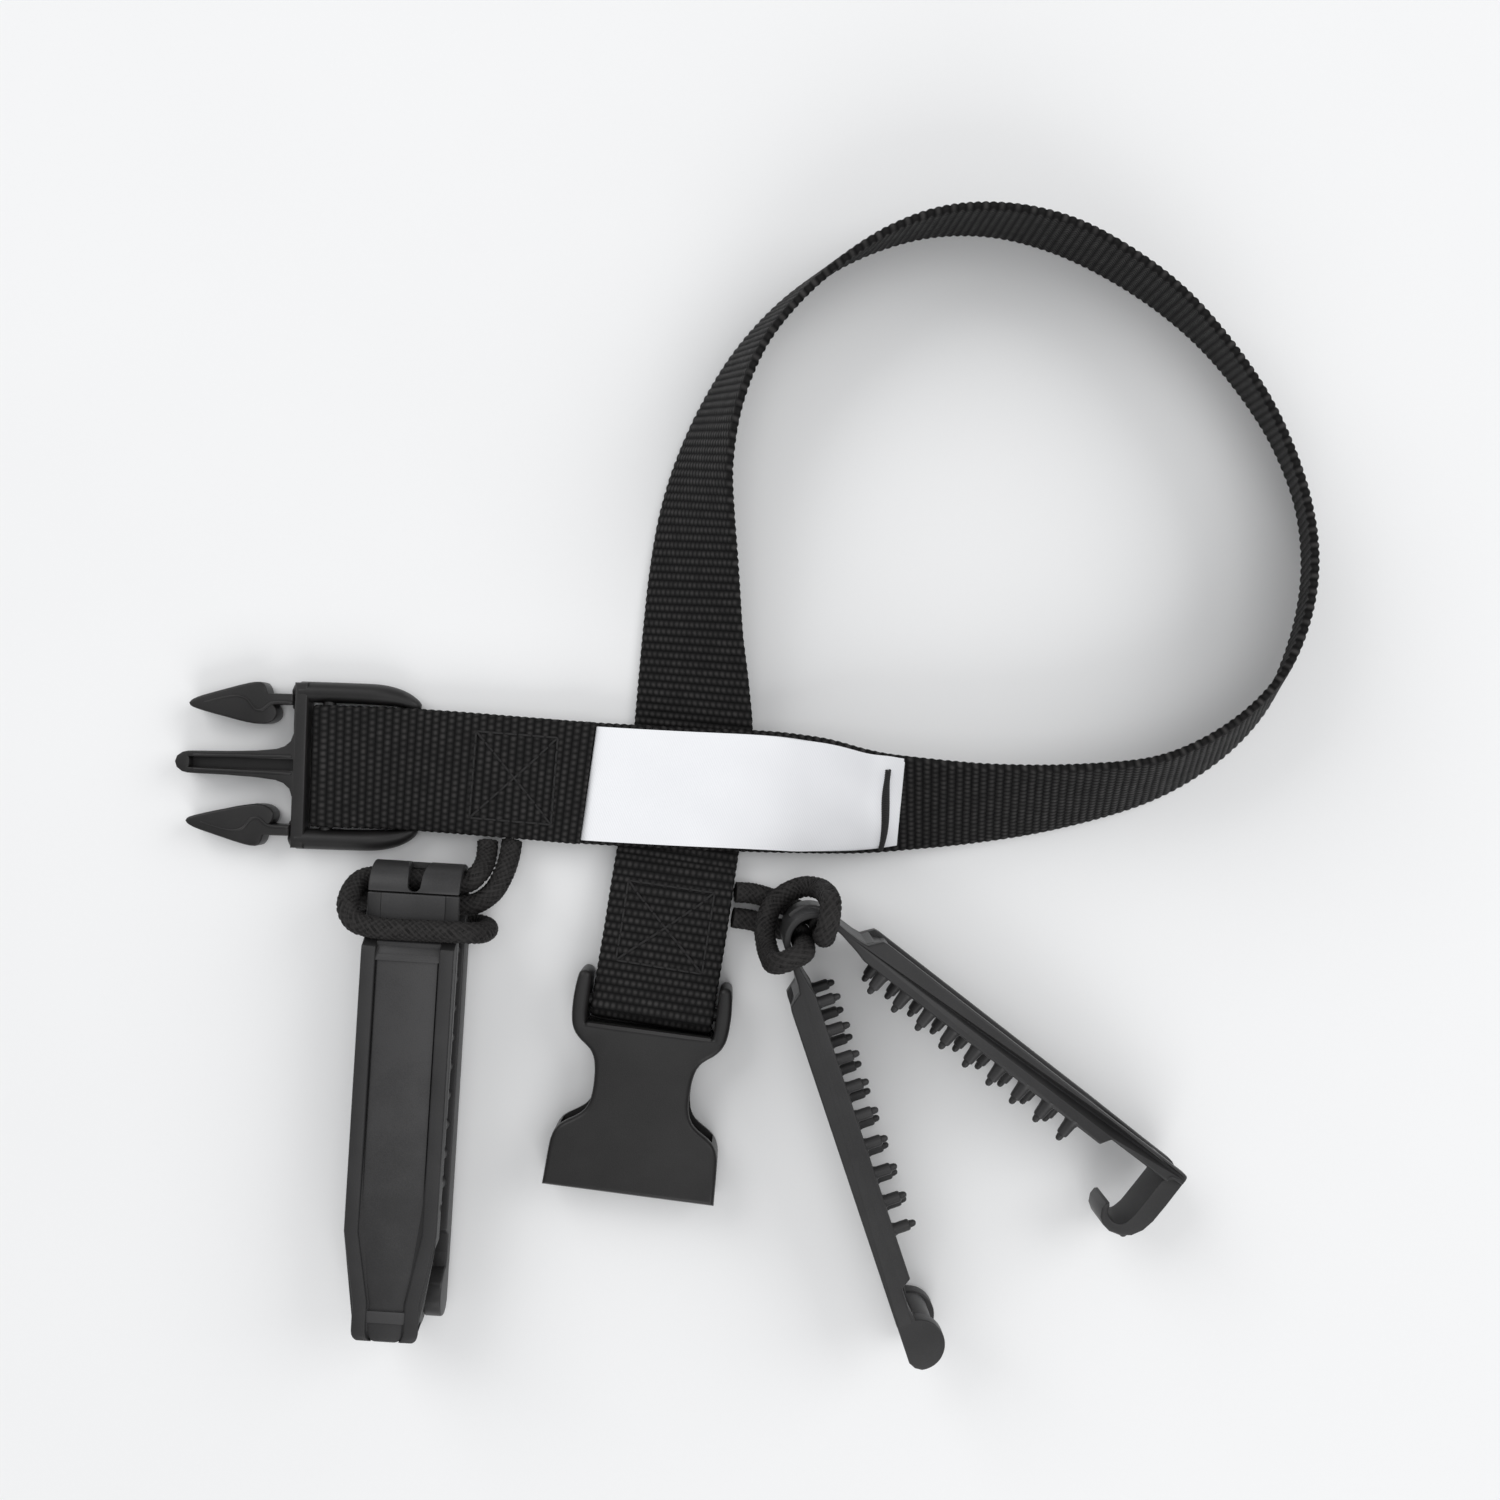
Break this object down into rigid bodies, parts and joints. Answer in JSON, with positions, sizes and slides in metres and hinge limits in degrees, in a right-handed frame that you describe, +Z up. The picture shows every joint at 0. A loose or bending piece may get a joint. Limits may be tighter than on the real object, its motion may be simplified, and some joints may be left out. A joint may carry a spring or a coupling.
{
  "type": "quick-release strap with toothed clips",
  "caption": "Ribbed webbing strap with a side-release buckle, a sewn label, and toothed clips girth-hitched to it on braided cord loops.",
  "frame": {"origin": "centre of the bounding box's base, on the surface the strap lies on", "axes": "+Z up from that surface; the male tail runs along X with its buckle towards -X, and the loop lies towards +X and +Y"},
  "size_m": [0.2346, 0.2312, 0.0288],
  "materials": {
    "webbing_black": "ribbed polyester webbing",
    "label_white": "satin",
    "thread_black": "sewing thread",
    "buckle_black": "fine moulded texture",
    "clip_charcoal": "fine moulded texture",
    "cord_black": "braided"
  },
  "bodies": {
    "strap": {"strap_webbing": "webbing_black", "care_label": "label_white", "label_stitch": "thread_black", "male_end_box_stitch": "thread_black", "female_end_box_stitch": "thread_black"},
    "male_buckle": {"male_buckle_frame": "buckle_black"},
    "latch_arm_upper": {"latch_arm_upper": "buckle_black"},
    "latch_arm_lower": {"latch_arm_lower": "buckle_black"},
    "female_buckle": {"female_buckle_body": "buckle_black"},
    "closed_clip": {"closed_clip_rear_jaw": "clip_charcoal", "closed_clip_hinge_band": "clip_charcoal", "closed_clip_cord": "cord_black"},
    "closed_clip_front": {"closed_clip_front_jaw": "clip_charcoal"},
    "closed_clip_hook": {"closed_clip_latch_hook": "clip_charcoal"},
    "open_clip": {"open_clip_pin_jaw": "clip_charcoal", "open_clip_hinge_band": "clip_charcoal", "open_clip_cord": "cord_black"},
    "open_clip_hook_side": {"open_clip_hook_jaw": "clip_charcoal"},
    "open_clip_hook": {"open_clip_latch_hook": "clip_charcoal"}
  },
  "joints": [
    {"name": "male_buckle_swing", "type": "hinge", "parent": "strap", "child": "male_buckle", "pos_m": [-0.08662, 0.00339, 0.0035], "axis": [0.0332, 0.9995, 0], "range_deg": [0, 60]},
    {"name": "latch_arm_upper_flex", "type": "hinge", "parent": "male_buckle", "child": "latch_arm_upper", "pos_m": [-0.09307, 0.01706, 0.0035], "axis": [0, 0, 1], "range_deg": [0, 8], "stiffness_Nm_per_rad": 0.4},
    {"name": "latch_arm_lower_flex", "type": "hinge", "parent": "male_buckle", "child": "latch_arm_lower", "pos_m": [-0.09396, -0.00982, 0.0035], "axis": [0, 0, -1], "range_deg": [0, 8], "stiffness_Nm_per_rad": 0.4},
    {"name": "female_buckle_swing", "type": "hinge", "parent": "strap", "child": "female_buckle", "pos_m": [-0.01922, -0.04611, 0.0052], "axis": [-0.9914, 0.1305, 0], "range_deg": [-30, 60]},
    {"name": "closed_clip_swing", "type": "hinge", "parent": "strap", "child": "closed_clip", "pos_m": [-0.05102, -0.01171, 0.0036], "axis": [0, 0, 1], "range_deg": [-10, 10], "deforming": ["closed_clip_cord"]},
    {"name": "closed_clip_jaw", "type": "hinge", "parent": "closed_clip", "child": "closed_clip_front", "pos_m": [-0.06622, -0.02181, 0.0102], "axis": [-0.9981, 0.061, 0], "range_deg": [0, 45], "deforming": ["closed_clip_hinge_band", "closed_clip_cord", "closed_clip_latch_hook"]},
    {"name": "closed_clip_hook_flex", "type": "hinge", "parent": "closed_clip_front", "child": "closed_clip_hook", "pos_m": [-0.07155, -0.10895, 0.017], "axis": [-0.9981, 0.061, 0], "range_deg": [0, 16], "stiffness_Nm_per_rad": 0.3},
    {"name": "open_clip_swing", "type": "hinge", "parent": "strap", "child": "open_clip", "pos_m": [-0.00262, -0.02531, 0.0036], "axis": [0, 0, 1], "range_deg": [-10, 10], "deforming": ["open_clip_cord"]},
    {"name": "open_clip_jaw", "type": "hinge", "parent": "open_clip", "child": "open_clip_hook_side", "pos_m": [0.01298, -0.03041, 0.0139], "axis": [0.0292, -0.0413, 0.9987], "range_deg": [-33.6, 10], "stiffness_Nm_per_rad": 0.05, "deforming": ["open_clip_hinge_band", "open_clip_cord", "open_clip_latch_hook"]},
    {"name": "open_clip_hook_flex", "type": "hinge", "parent": "open_clip_hook_side", "child": "open_clip_hook", "pos_m": [0.0859, -0.07871, 0.00977], "axis": [0.0292, -0.0413, 0.9987], "range_deg": [0, 16], "stiffness_Nm_per_rad": 0.3}
  ]
}
